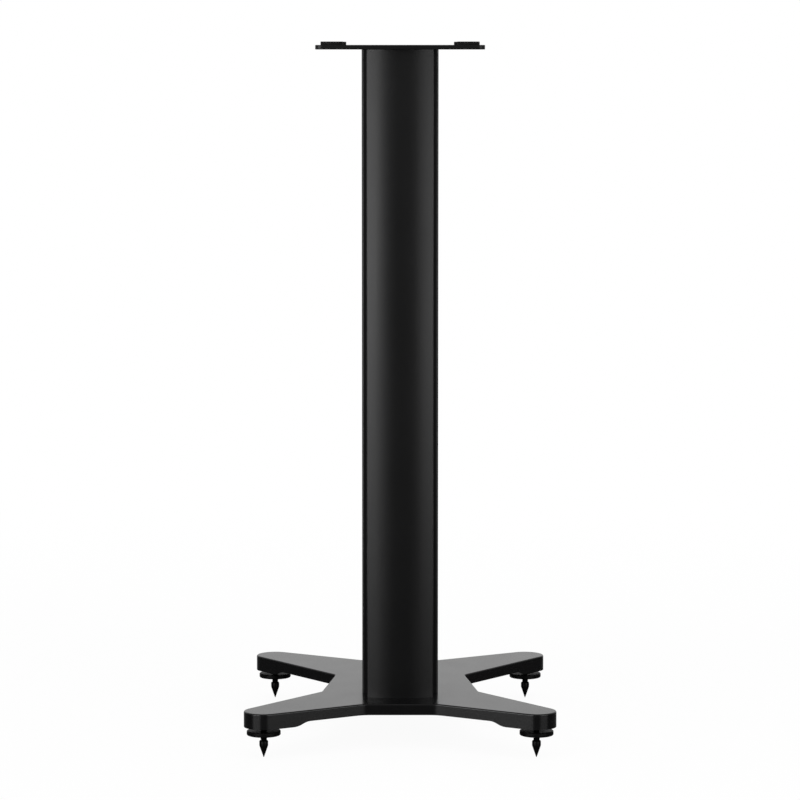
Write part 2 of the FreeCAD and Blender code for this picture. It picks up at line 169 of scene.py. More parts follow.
class Recipe:
    """A node tree while it is being written."""

    def __init__(self, tree: bpy.types.NodeTree) -> None:
        """Starts on a node tree.

        Args:
            tree: The tree that the nodes go into.
        """
        self.tree = tree

    def add(self, kind: str, settings: Optional[Mapping[str, object]] = None,
            inputs: Optional[Mapping[Union[int, str], Value]] = None,
            output: Union[int, str] = 0) -> Term:
        """Adds any node.

        Args:
            kind: The node's type.
            settings: Its own properties, which are set first.
            inputs: The values or links of its input sockets, by name or number.
            output: The output that is wanted.

        Returns:
            The wanted output.
        """
        node = self.tree.nodes.new(kind)
        for name, value in (settings or {}).items():
            setattr(node, name, value)
        for key, value in (inputs or {}).items():
            self.feed(node.inputs[key], value)
        return Term(self, node.outputs[output])

    def feed(self, socket: bpy.types.NodeSocket, value: Value) -> None:
        """Sets or links one input socket.

        Args:
            socket: The input socket.
            value: A term to link, or a plain value.
        """
        if isinstance(value, Term):
            self.tree.links.new(value.socket, socket)
        else:
            socket.default_value = value

    def finish(self, kind: str, socket: str, value: Term) -> None:
        """Adds the tree's output node and links it.

        Args:
            kind: The output node's type.
            socket: The name of its input.
            value: What goes into it.
        """
        self.feed(self.tree.nodes.new(kind).inputs[socket], value)

    def place(self) -> Term:
        """Where the shaded point is on the object, in metres."""
        return self.add("ShaderNodeTexCoord", output="Object")

    def axes(self, vector: Term) -> tuple[Term, Term, Term]:
        """Takes a vector apart.

        Args:
            vector: The vector.

        Returns:
            Its X, Y and Z.
        """
        parts = self.add("ShaderNodeSeparateXYZ", inputs={0: vector})
        return parts.part("X"), parts.part("Y"), parts.part("Z")

    def noise(self, grain: float, detail: float = 2.0, stretch: Point = (1.0, 1.0, 1.0)) -> Term:
        """A noise whose cells have a real size.

        Args:
            grain: The size of a cell, in metres.
            detail: Octaves of finer noise.
            stretch: How much longer a cell is along each axis.

        Returns:
            The noise, about 0..1.
        """
        scaled = self.add("ShaderNodeMapping", inputs={
            "Vector": self.place(), "Scale": [1.0 / (grain * share) for share in stretch]})
        return self.add("ShaderNodeTexNoise", inputs={
            "Vector": scaled, "Scale": 1.0, "Detail": detail})

    def ramp(self, value: Value, source: Span, target: Span = (0.0, 1.0)) -> Term:
        """Carries a value smoothly from one range to another.

        Args:
            value: The value.
            source: Where the smooth step begins and ends.
            target: The result up to its beginning, and from its end on.

        Returns:
            The carried value.
        """
        return self.add("ShaderNodeMapRange", {"interpolation_type": "SMOOTHSTEP"}, {
            "Value": value, "From Min": source[0], "From Max": source[1],
            "To Min": target[0], "To Max": target[1]})

    def clamp(self, value: Value) -> Term:
        """The value, kept within 0..1."""
        return self.add("ShaderNodeClamp", inputs={0: value})

    @staticmethod
    def share(weight: float, first: Term, rest: Term) -> Term:
        """A part of one value, and the rest of another."""
        return first * weight + rest * (1.0 - weight)

    def mix(self, share: Value, first: Colour, second: Colour) -> Term:
        """A mix of two colours.

        Args:
            share: How much of the second colour.
            first: The first colour.
            second: The second colour.

        Returns:
            The mixed colour.
        """
        return self.add("ShaderNodeMix", {"data_type": "RGBA"}, {
            0: share, MIX_FIRST: (*first, 1.0), MIX_SECOND: (*second, 1.0)}, MIX_RESULT)

    def bump(self, height: Term, depth: float, under: Optional[Term] = None) -> Term:
        """A small relief.

        Args:
            height: The relief, 0..1.
            depth: Its real depth, in metres.
            under: A relief that this one lies on.

        Returns:
            The normal.
        """
        inputs = {"Height": height, "Distance": depth, "Strength": 1.0}
        if under is not None:
            inputs["Normal"] = under
        return self.add("ShaderNodeBump", inputs=inputs)

    def glow(self, strength: float) -> Term:
        """A white light of a fixed strength."""
        return self.add("ShaderNodeEmission", inputs={"Strength": strength})

    def blend(self, share: Value, first: Term, second: Term) -> Term:
        """A mix of two shaders.

        Args:
            share: How much of the second shader.
            first: The first shader.
            second: The second shader.

        Returns:
            The mixed shader.
        """
        return self.add("ShaderNodeMixShader", inputs={0: share, 1: first, 2: second})


# ----------------------------------------------------------------- finishes

@dataclass(frozen=True)
class Pattern:
    """What varies over a finished surface.

    Attributes:
        wear: The share of the worn colour.
        dulling: The share of the highest roughness.
        normal: The relief.
    """

    wear: Term
    dulling: Term
    normal: Term


@dataclass(frozen=True)
class Finish:
    """A surface finish.

    Attributes:
        name: The material's name.
        colour: The base colour.
        worn: The colour that the base colour drifts towards.
        roughness: The lowest and the highest roughness.
        gloss: Index of refraction of the outermost layer.
        metallic: 1 where the surface is bare metal.
    """

    name: str
    colour: Colour
    worn: Colour
    roughness: Span
    gloss: float = 1.45
    metallic: float = 0.0

    def pattern(self, recipe: Recipe) -> Pattern:
        """Writes what varies over the surface.

        Args:
            recipe: The node tree.

        Returns:
            The pattern.
        """
        raise NotImplementedError

    @cache
    def material(self) -> bpy.types.Material:
        """Builds the material, once for each finish.

        Returns:
            The material.
        """
        made = bpy.data.materials.new(self.name)
        made.use_nodes = True
        made.diffuse_color = (*self.colour, 1.0)
        recipe = Recipe(made.node_tree)
        sockets = made.node_tree.nodes["Principled BSDF"].inputs
        pattern = self.pattern(recipe)
        low, high = self.roughness
        for name, value in {
                "IOR": self.gloss,
                "Metallic": self.metallic,
                "Base Color": recipe.mix(pattern.wear, self.colour, self.worn),
                "Roughness": pattern.dulling * (high - low) + low,
                "Normal": pattern.normal}.items():
            recipe.feed(sockets[name], value)
        return made


@dataclass(frozen=True)
class PowderCoat(Finish):
    """Satin powder coat: orange peel, a fine tooth and a few dust specks.

    Attributes:
        peel: The size of the orange peel, in metres.
        peel_depth: Its depth.
        tooth: The size of the fine tooth.
        tooth_depth: Its depth.
        cloud: The size of the clouds in the colour.
        cloud_share: How much of the worn colour the clouds bring.
        handling: The size of the marks that hands and cloths leave in the gloss.
        handling_stretch: How much longer these marks are along each axis.
        handling_share: Their share of the change in the gloss. The clouds have the rest.
        speck: The size of a dust speck.
        speck_rim: Where in the noise a speck begins, and where it is full.
        speck_share: How much of the worn colour a speck brings.
    """

    peel: float = 2.2 * MILLIMETRE
    peel_depth: float = 0.024 * MILLIMETRE
    tooth: float = 0.35 * MILLIMETRE
    tooth_depth: float = 0.010 * MILLIMETRE
    cloud: float = 70 * MILLIMETRE
    cloud_share: float = 0.7
    handling: float = 24 * MILLIMETRE
    handling_stretch: Point = (1.0, 1.6, 1.0)
    handling_share: float = 0.7
    speck: float = 1.3 * MILLIMETRE
    speck_rim: Span = (0.74, 0.80)
    speck_share: float = 0.5

    def clouds(self, recipe: Recipe) -> Term:
        """The soft clouds in the coat."""
        return recipe.noise(self.cloud, 3.0)

    def wear(self, recipe: Recipe, clouds: Term) -> Term:
        """Adds dust specks to the clouds.

        Args:
            recipe: The node tree.
            clouds: The clouds.

        Returns:
            The share of the worn colour.
        """
        specks = recipe.ramp(recipe.noise(self.speck, 1.0), self.speck_rim,
                             (0.0, self.speck_share))
        return clouds * self.cloud_share + specks

    def relief(self, recipe: Recipe, under: Optional[Term] = None) -> Term:
        """Lays the coat's own relief on what is under it.

        Args:
            recipe: The node tree.
            under: The relief of the bare metal.

        Returns:
            The normal.
        """
        peel = recipe.bump(recipe.noise(self.peel), self.peel_depth, under)
        return recipe.bump(recipe.noise(self.tooth, 1.0), self.tooth_depth, peel)

    def pattern(self, recipe: Recipe) -> Pattern:
        """Writes cloudy colour, handled gloss and two sizes of relief.

        Args:
            recipe: The node tree.

        Returns:
            The pattern.
        """
        clouds = self.clouds(recipe)
        handled = recipe.noise(self.handling, 4.0, self.handling_stretch)
        dulling = recipe.share(self.handling_share, handled, clouds)
        return Pattern(self.wear(recipe, clouds), dulling, self.relief(recipe))


@dataclass(frozen=True)
class DrawnCoat(PowderCoat):
    """The same coat over a drawn section, whose die lines run up it.

    Attributes:
        line: The width of a die line, in metres.
        line_depth: Its depth.
        line_stretch: How much longer than wide a die line is.
        band: The width of a band of duller gloss.
        band_stretch: How much longer than wide a band is.
        band_share: The bands' share of the change in the gloss. The clouds have the rest.
    """

    line: float = 0.8 * MILLIMETRE
    line_depth: float = 0.008 * MILLIMETRE
    line_stretch: float = 400.0
    band: float = 9 * MILLIMETRE
    band_stretch: float = 30.0
    band_share: float = 0.6

    def pattern(self, recipe: Recipe) -> Pattern:
        """Writes die lines under the coat, and bands along the section.

        Args:
            recipe: The node tree.

        Returns:
            The pattern.
        """
        lines = recipe.noise(self.line, 3.0, (1.0, 1.0, self.line_stretch))
        bands = recipe.noise(self.band, 2.0, (1.0, 1.0, self.band_stretch))
        clouds = self.clouds(recipe)
        dulling = recipe.share(self.band_share, bands, clouds)
        drawn = recipe.bump(lines, self.line_depth)
        return Pattern(self.wear(recipe, clouds), dulling, self.relief(recipe, drawn))


@dataclass(frozen=True)
class MouldedRubber(Finish):
    """Matt rubber with a fine moulded grain and a trace of bloom.

    Attributes:
        grain: The size of the grain, in metres.
        grain_depth: Its depth.
        grain_share: How much of the worn colour the grain brings.
        bloom: The size of a blotch of bloom.
        bloom_rim: Where in the noise a blotch begins, and where it is full.
        bloom_share: How much of the worn colour the bloom brings.
    """

    grain: float = 0.45 * MILLIMETRE
    grain_depth: float = 0.03 * MILLIMETRE
    grain_share: float = 0.2
    bloom: float = 6 * MILLIMETRE
    bloom_rim: Span = (0.45, 0.75)
    bloom_share: float = 0.6

    def pattern(self, recipe: Recipe) -> Pattern:
        """Writes the bloom and the grain.

        Args:
            recipe: The node tree.

        Returns:
            The pattern.
        """
        bloom = recipe.ramp(recipe.noise(self.bloom, 4.0), self.bloom_rim)
        grain = recipe.noise(self.grain)
        wear = bloom * self.bloom_share + grain * self.grain_share
        return Pattern(wear, bloom, recipe.bump(grain, self.grain_depth))


@dataclass(frozen=True)
class TurnedMetal(Finish):
    """Metal that was turned: fine rings about the piece's own axis.

    Attributes:
        axis: How far the axes of the like pieces lie from the middle, in X and Y.
        feed: The width of a turned ring, in metres.
        feed_depth: Its depth.
        ring_share: The rings' share of the relief. The soft changes of tone have the rest.
        shade: The size of the soft changes of tone.
        shade_wear: How much of the worn colour they bring.
        shade_dulling: Their share of the change in the gloss. The scuffs have the rest.
        scuff: The size of a scuff.
        scuff_rim: Where in the noise a scuff begins, and where it is full.
        scuff_wear: How much of the worn colour a scuff brings.
    """

    axis: Span = (0.0, 0.0)
    feed: float = 0.22 * MILLIMETRE
    feed_depth: float = 0.004 * MILLIMETRE
    ring_share: float = 0.8
    shade: float = 3 * MILLIMETRE
    shade_wear: float = 0.3
    shade_dulling: float = 0.6
    scuff: float = 0.9 * MILLIMETRE
    scuff_rim: Span = (0.5, 0.72)
    scuff_wear: float = 0.5

    def about(self, x: float, y: float) -> "TurnedMetal":
        """The same finish, turned about other axes."""
        return replace(self, axis=(x, y))

    def pattern(self, recipe: Recipe) -> Pattern:
        """Writes rings by radius and height, broken up along their length.

        Args:
            recipe: The node tree.

        Returns:
            The pattern.
        """
        x, y, z = recipe.axes(recipe.place())
        across, along = abs(x) - self.axis[0], abs(y) - self.axis[1]
        radius = (across * across + along * along).root()
        rings = ((radius + z) * (FULL_TURN / self.feed)).sine() * 0.5 + 0.5
        shade = recipe.noise(self.shade, 3.0)
        scuffs = recipe.ramp(recipe.noise(self.scuff, 4.0), self.scuff_rim)
        relief = recipe.bump(recipe.share(self.ring_share, rings, shade), self.feed_depth)
        return Pattern(scuffs * self.scuff_wear + shade * self.shade_wear,
                       recipe.share(self.shade_dulling, shade, scuffs), relief)


BLACK: Colour = (0.0014, 0.0014, 0.0015)
FADED: Colour = (0.0034, 0.0034, 0.0036)

BASE_COAT = PowderCoat("satin_black_base", BLACK, FADED, (0.15, 0.25), 1.25)
COLUMN_COAT = DrawnCoat("satin_black_column", BLACK, FADED, (0.24, 0.36), 1.21,
                        cloud=90 * MILLIMETRE, cloud_share=0.6)
TOP_COAT = PowderCoat("satin_black_top", BLACK, FADED, (0.27, 0.40), 1.18)
RUBBER = MouldedRubber("moulded_rubber", (0.0030, 0.0030, 0.0030), (0.0085, 0.0085, 0.0085),
                       (0.60, 0.78), 1.16)
BLACK_OXIDE = TurnedMetal("black_oxide_screw", (0.010, 0.010, 0.011), (0.030, 0.029, 0.028),
                          (0.32, 0.48), 1.35)
SPIKE_PLATING = TurnedMetal("black_plated_spike", (0.0015, 0.0015, 0.0015),
                            (0.0045, 0.0045, 0.0045), (0.28, 0.40), 1.10)
DISC_PLATING = TurnedMetal("black_plated_disc", (0.0020, 0.0020, 0.0020),
                           (0.0045, 0.0045, 0.0045), (0.30, 0.40), 1.10,
                           feed=0.35 * MILLIMETRE)
BRASS = TurnedMetal("turned_brass", (0.62, 0.44, 0.18), (0.45, 0.31, 0.13), (0.22, 0.38),
                    metallic=1.0)


# -------------------------------------------------------------- mesh making

def lathe(shape: bmesh.types.BMesh, profile: Profile, centre: Point, steps: int) -> None:
    """Turns a closed profile about an upright axis.

    Args:
        shape: The mesh that takes the turned skin.
        profile: Radius and height of each point, from the lower pole to the upper one.
        centre: A point on the axis, at height nought of the profile.
        steps: Facets round the axis.
    """
    x, y, z = centre
    rings = []
    for radius, height in profile:
        if radius == 0.0:
            rings.append([shape.verts.new((x, y, z + height))] * steps)
            continue
        turns = [FULL_TURN * step / steps for step in range(steps)]
        rings.append([shape.verts.new((x + radius * math.cos(turn), y + radius * math.sin(turn),
                                       z + height)) for turn in turns])
    for low, high in zip(rings, rings[1:]):
        for step in range(steps):
            after = (step + 1) % steps
            corners = [low[step], low[after], high[after], high[step]]
            shape.faces.new(list(dict.fromkeys(corners)))


def shade_smooth(shape: bmesh.types.BMesh, limit: float) -> None:
    """Shades a mesh smooth, with edges above an angle kept sharp.

    Args:
        shape: The mesh.
        limit: The angle, in degrees.
    """
    for face in shape.faces:
        face.smooth = True
    for edge in shape.edges:
        edge.smooth = len(edge.link_faces) == 2 and edge.calc_face_angle(0.0) < math.radians(limit)


def solid(name: str, shape: bmesh.types.BMesh, finish: Finish) -> bpy.types.Object:
    """Makes an object of a mesh, all in one finish.

    Args:
        name: The object's name.
        shape: The mesh, which is used up.
        finish: The finish.

    Returns:
        The object, in the scene.
    """
    for face in shape.faces:
        face.material_index = 0
    mesh = bpy.data.meshes.new(name)
    shape.to_mesh(mesh)
    shape.free()
    mesh.materials.append(finish.material())
    made = bpy.data.objects.new(name, mesh)
    bpy.context.scene.collection.objects.link(made)
    return made


def dress(node: str, finish: Finish) -> bpy.types.Object:
    """Gives a node its finish.

    Args:
        node: The node's name.
        finish: The finish.

    Returns:
        The node's object.
    """
    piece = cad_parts[node]
    piece.data.materials.clear()
    piece.data.materials.append(finish.material())
    return piece


@dataclass(frozen=True)
class ThreadTree:
    """Geometry Nodes that wind a flat grid into a screw thread.

    Attributes:
        name: The node group's name.
        segments: Facets in one turn.
        rows: Points across one pitch, up one flank and down the other.
        root_flat: Share of a flank that is left flat at the thread's root.
        steepness: How much faster than the pitch a flank climbs.
        weld: How close two points are made one, in metres.
        sizes: The names of the group's number inputs.
    """

    name: str = "screw_thread"
    segments: int = 40
    rows: int = 7
    root_flat: float = 0.12
    steepness: float = 1.32
    weld: float = 0.001 * MILLIMETRE
    sizes: tuple[str, ...] = ("Centre X", "Centre Y", "Start", "Turns", "Pitch",
                              "Root Radius", "Crest Radius", "Run Out")

    @cache
    def group(self) -> bpy.types.NodeTree:
        """Builds the tree, once.

        Returns:
            The node group.
        """
        tree = bpy.data.node_groups.new(self.name, "GeometryNodeTree")
        for name in self.sizes:
            tree.interface.new_socket(name=name, in_out="INPUT", socket_type="NodeSocketFloat")
        tree.interface.new_socket(name="Finish", in_out="INPUT", socket_type="NodeSocketMaterial")
        tree.interface.new_socket(name="Thread", in_out="OUTPUT",
                                  socket_type="NodeSocketGeometry")
        recipe = Recipe(tree)
        given = recipe.add("NodeGroupInput")
        size = {name: given.part(name) for name in self.sizes}
        grid = recipe.add("GeometryNodeMeshGrid", inputs={
            "Size X": 1.0, "Size Y": 1.0,
            "Vertices X": size["Turns"] * self.segments + 1, "Vertices Y": self.rows})
        x, y, _ = recipe.axes(recipe.add("GeometryNodeInputPosition"))
        turns = (x + 0.5) * size["Turns"]
        across = y + 0.5
        flank = 1.0 - abs(across * 2.0 - 1.0)
        crest = recipe.clamp((flank - self.root_flat) * self.steepness)
        left = turns.smallest(size["Turns"] - turns)
        depth = (size["Crest Radius"] - size["Root Radius"]) * recipe.clamp(
            left / size["Run Out"])
        radius = size["Root Radius"] + depth * crest
        angle = turns * FULL_TURN
        wound = recipe.add("ShaderNodeCombineXYZ", inputs={
            "X": size["Centre X"] + radius * angle.cosine(),
            "Y": size["Centre Y"] + radius * angle.sine(),
            "Z": size["Start"] + (turns + across) * size["Pitch"]})
        placed = recipe.add("GeometryNodeSetPosition", inputs={
            "Geometry": grid, "Position": wound})
        merged = recipe.add("GeometryNodeMergeByDistance", inputs={
            "Geometry": placed, "Distance": self.weld})
        real = recipe.add("GeometryNodeRealizeInstances", inputs={"Geometry": merged})
        dressed = recipe.add("GeometryNodeSetMaterial", inputs={
            "Geometry": real, "Material": given.part("Finish")})
        recipe.finish("NodeGroupOutput", "Thread", dressed)
        return tree

    def mesh(self, sizes: Mapping[str, float], finish: Finish) -> bpy.types.Mesh:
        """Winds one thread.

        Args:
            sizes: A value for each of the tree's number inputs.
            finish: The thread's finish.

        Returns:
            The thread as a plain mesh.
        """
        tree = self.group()
        carrier = bpy.data.objects.new("thread_carrier", bpy.data.meshes.new("thread_carrier"))
        bpy.context.scene.collection.objects.link(carrier)
        modifier = carrier.modifiers.new("Thread", "NODES")
        modifier.node_group = tree
        values = {**sizes, "Finish": finish.material()}
        for item in tree.interface.items_tree:
            if item.in_out == "INPUT":
                modifier[item.identifier] = values[item.name]
        evaluated = carrier.evaluated_get(bpy.context.evaluated_depsgraph_get())
        made = bpy.data.meshes.new_from_object(evaluated)
        carrier.modifiers.remove(modifier)
        bpy.data.objects.remove(carrier)
        return made


# ------------------------------------------------------------ sub-assemblies

class SubAssembly(Protocol):
    """A group of pieces that builds and dresses itself."""

    def build(self) -> Iterator[bpy.types.Object]:
        """The pieces, built and dressed one after the other."""


@dataclass(frozen=True)
class Foot:
    """One levelling foot: a spike on a threaded stud, its disc and its insert.

    Attributes:
        arm: The arm that it stands under.
        spike_x: How far its axis is from the middle, across.
        spike_y: How far its axis is from the middle, front to back.
        tip_radius: The blunted point.
        cone_top: Height of the cone.
        body_radius: The round body above the cone.
        body_top: Height of the body.
        shoulder: Bevel between the body and the stud.
        root_radius: Bottom of the thread.
        crest_radius: Top of the thread.
        pitch: The thread's pitch.
        run_out: Turns over which the thread rises and dies away.
        stud_top: Height of the stud's end.
        easing: How far the turned edges are eased.
        corner: Where the middle point of an eased edge lies, as a share of the easing.
        slight: The same for an edge between two faces that hardly turn.
        tip_flat: Share of the point's radius that is flat.
        tip_rise: Height of the point's edge, as a share of its radius.
        lap: How far the stud's core lies under the thread's root.
        facets: Facets round the axis.
        sharpness: The angle above which an edge shows, in degrees.
    """

    arm: Arm
    spike_x: float = 120.3 * MILLIMETRE
    spike_y: float = 138.5 * MILLIMETRE
    tip_radius: float = 0.3 * MILLIMETRE
    cone_top: float = 10.5 * MILLIMETRE
    body_radius: float = 3.9 * MILLIMETRE
    body_top: float = 14.5 * MILLIMETRE
    shoulder: float = 0.9 * MILLIMETRE
    root_radius: float = 2.45 * MILLIMETRE
    crest_radius: float = 2.98 * MILLIMETRE
    pitch: float = 1.0 * MILLIMETRE
    run_out: float = 1.0
    stud_top: float = 37.0 * MILLIMETRE
    easing: float = 0.35 * MILLIMETRE
    corner: float = 0.3
    slight: float = 0.2
    tip_flat: float = 0.7
    tip_rise: float = 0.5
    lap: float = 0.01 * MILLIMETRE
    facets: int = 64
    sharpness: float = 35.0

    def profile(self) -> Profile:
        """Draws the turned outline of the spike and its core, with eased edges.

        Returns:
            Radius and height of each point, from the tip to the stud's end.
        """
        ease = self.easing
        cut, dip = ease * self.corner, ease * self.slight
        narrowing = (self.body_radius - self.tip_radius) / self.cone_top * ease
        core = self.root_radius - self.lap
        bevel_top = self.body_top + self.shoulder
        return [
            (0.0, 0.0),
            (self.tip_radius * self.tip_flat, 0.0),
            (self.tip_radius, self.tip_radius * self.tip_rise),
            (self.body_radius - narrowing, self.cone_top - ease),
            (self.body_radius - narrowing * self.slight, self.cone_top),
            (self.body_radius, self.cone_top + ease),
            (self.body_radius, self.body_top - ease),
            (self.body_radius - cut, self.body_top),
            (self.crest_radius - cut, bevel_top - dip),
            (core, bevel_top + cut),
            (core, self.stud_top - ease),
            (core - ease, self.stud_top),
            (0.0, self.stud_top),
        ]

    def spike(self) -> bpy.types.Object:
        """Builds the spike with its real thread.

        Returns:
            The spike, riding on its own body.
        """
        finish = SPIKE_PLATING.about(self.spike_x, self.spike_y)
        side, end = self.arm.value
        x, y = side * self.spike_x, end * self.spike_y
        thread = ThreadTree().mesh({
            "Centre X": x, "Centre Y": y, "Start": self.body_top, "Pitch": self.pitch,
            "Turns": math.floor((self.stud_top - self.body_top) / self.pitch) - 1,
            "Root Radius": self.root_radius, "Crest Radius": self.crest_radius,
            "Run Out": self.run_out}, finish)
        shape = bmesh.new()
        shape.from_mesh(thread)
        bpy.data.meshes.remove(thread)
        open_rims = [edge for edge in shape.edges if edge.is_boundary]
        bmesh.ops.holes_fill(shape, edges=open_rims, sides=0)
        lathe(shape, self.profile(), (x, y, 0.0), self.facets)
        bmesh.ops.recalc_face_normals(shape, faces=shape.faces)
        shade_smooth(shape, self.sharpness)
        made = solid(f"turned_spike_{self.arm.label}", shape, finish)
        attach(made, f"spike_{self.arm.label}")
        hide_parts(f"spike_{self.arm.label}")
        return made

    def build(self) -> Iterator[bpy.types.Object]:
        """Builds the spike and dresses the disc and the insert.

        Returns:
            The pieces, one after the other.
        """
        yield self.spike()
        yield dress(f"levelling_disc_{self.arm.label}",
                    DISC_PLATING.about(self.spike_x, self.spike_y))
        yield dress(f"thread_insert_{self.arm.label}", BRASS.about(self.spike_x, self.spike_y))


@dataclass(frozen=True)
class Bolted:
    """A group of pieces that is held to the column by four screws.

    Attributes:
        port_x: How far a screw's axis is from the middle, across.
        port_y: How far a screw's axis is from the middle, front to back.
    """

    port_x: float = 26.0 * MILLIMETRE
    port_y: float = 48.0 * MILLIMETRE

    def screws(self, node: str) -> bpy.types.Object:
        """Dresses the four screws, whose rings run about their own axes."""
        return dress(node, BLACK_OXIDE.about(self.port_x, self.port_y))


class Pillar(Bolted):
    """The base plate and the column, with the cap screws that join them."""

    def build(self) -> Iterator[bpy.types.Object]:
        """Dresses the base plate, the column and their screws.

        Returns:
            The pieces, one after the other.
        """
        yield dress("base_plate", BASE_COAT)
        yield dress("column", COLUMN_COAT)
        yield self.screws("base_screws")


class Platform(Bolted):
    """The top plate with its countersunk screws and its pads."""

    def build(self) -> Iterator[bpy.types.Object]:
        """Dresses the top plate, its screws and its pads.

        Returns:
            The pieces, one after the other.
        """
        yield dress("top_plate", TOP_COAT)
        yield self.screws("top_screws")
        for arm in Arm:
            yield dress(f"top_pad_{arm.label}", RUBBER)


# -------------------------------------------------------------------- studio

@dataclass(frozen=True)
class SoftBox:
    """A soft lamp that lights the stand and leaves no trace in gloss.

    Attributes:
        name: The lamp's name.
        azimuth: Its direction from the stand, in degrees to the right of the camera.
        height: Height of its middle.
        distance: How far it stands from the stand.
        size: Its width and height.
        power: Its power, in watts.
        aim: The point that it faces.
    """

    name: str
    azimuth: float
    height: float
    distance: float
    size: Span
    power: float
    aim: Point = (0.0, 0.0, 0.35)

    def build(self) -> None:
        """Hangs the lamp."""
        angle = math.radians(self.azimuth)
        place = Vector((math.sin(angle) * self.distance, -math.cos(angle) * self.distance,
                        self.height))
        lamp = bpy.data.lights.new(self.name, "AREA")
        lamp.shape = "RECTANGLE"
        lamp.size, lamp.size_y = self.size
        lamp.energy = self.power
        holder = bpy.data.objects.new(self.name, lamp)
        holder.location = place
        holder.rotation_mode = "QUATERNION"
        holder.rotation_quaternion = (Vector(self.aim) - place).to_track_quat("-Z", "Y")
        holder.visible_glossy = False
        bpy.context.scene.collection.objects.link(holder)


def backdrop(name: str, corners: Sequence[Point]) -> tuple[bpy.types.Object, Recipe]:
    """Makes a flat piece of the studio, with an empty material.

    Args:
        name: Its name.
        corners: Its four corners.

    Returns:
        The piece, and its material's node tree.
    """
    mesh = bpy.data.meshes.new(name)
    mesh.from_pydata(corners, [], [(0, 1, 2, 3)])
    made = bpy.data.materials.new(name)
    made.use_nodes = True
    made.node_tree.nodes.clear()
    mesh.materials.append(made)
    piece = bpy.data.objects.new(name, mesh)
    bpy.context.scene.collection.objects.link(piece)
    return piece, Recipe(made.node_tree)


@dataclass(frozen=True)
class Card:
    """An upright card that only gloss can see: bright to give a sheen, dark to end it.

    Attributes:
        name: The card's name.
        start: One end of its foot, in X and Y.
        stop: The other end.
        top: Height of its upper edge.
        glow: How bright it looks in a reflection.
        spread: How steeply a ray may climb to it, as a sine, before the card starts to
            look as plain as the room, and where it has done so.
        nose_y: Where the column's bowed front lies, from front to back.
        dimmed_from: Across from the middle towards the card, where a point of that front
            starts to see the card dimmed, and where it fully does.
        dimmed_to: Where the dimming starts to end, and where it has ended.
        dimmed_share: Share of the glow that is left between them.
    """

    name: str
    start: Span
    stop: Span
    top: float
    glow: float
    spread: Span = (0.20, 0.25)
    nose_y: float = -0.078
    dimmed_from: Span = (-0.055, -0.042)
    dimmed_to: Span = (-0.015, -0.006)
    dimmed_share: float = 0.10

    def far_half(self, recipe: Recipe, back_x: Term, back_y: Term) -> Term:
        """Finds the rays that come from the far half of the column's bowed front.

        Args:
            recipe: The node tree.
            back_x: The way back along the ray, across.
            back_y: The way back along the ray, front to back.

        Returns:
            1 for a ray from the far half.
        """
        x, y, _ = recipe.axes(recipe.place())
        crossing = x + back_x * ((self.nose_y - y) / back_y)
        aside = crossing * math.copysign(1.0, self.start[0])
        begun = recipe.ramp(aside, self.dimmed_from)
        return begun * recipe.ramp(aside, self.dimmed_to, (1.0, 0.0))

    def build(self) -> None:
        """Stands the card up on the floor."""
        card, recipe = backdrop(self.name, [(*self.start, 0.0), (*self.stop, 0.0),
                                            (*self.stop, self.top), (*self.start, self.top)])
        back_x, back_y, descent = recipe.axes(
            recipe.add("ShaderNodeNewGeometry", output="Incoming"))
        climb = recipe.ramp(-descent, self.spread)
        face = recipe.blend(self.far_half(recipe, back_x, back_y), recipe.glow(self.glow),
                            recipe.glow(self.glow * self.dimmed_share))
        recipe.finish("ShaderNodeOutputMaterial", "Surface",
                      recipe.blend(climb, face, recipe.glow(1.0)))
        card.visible_camera = False
        card.visible_diffuse = False
        card.visible_shadow = False
        card.visible_transmission = False


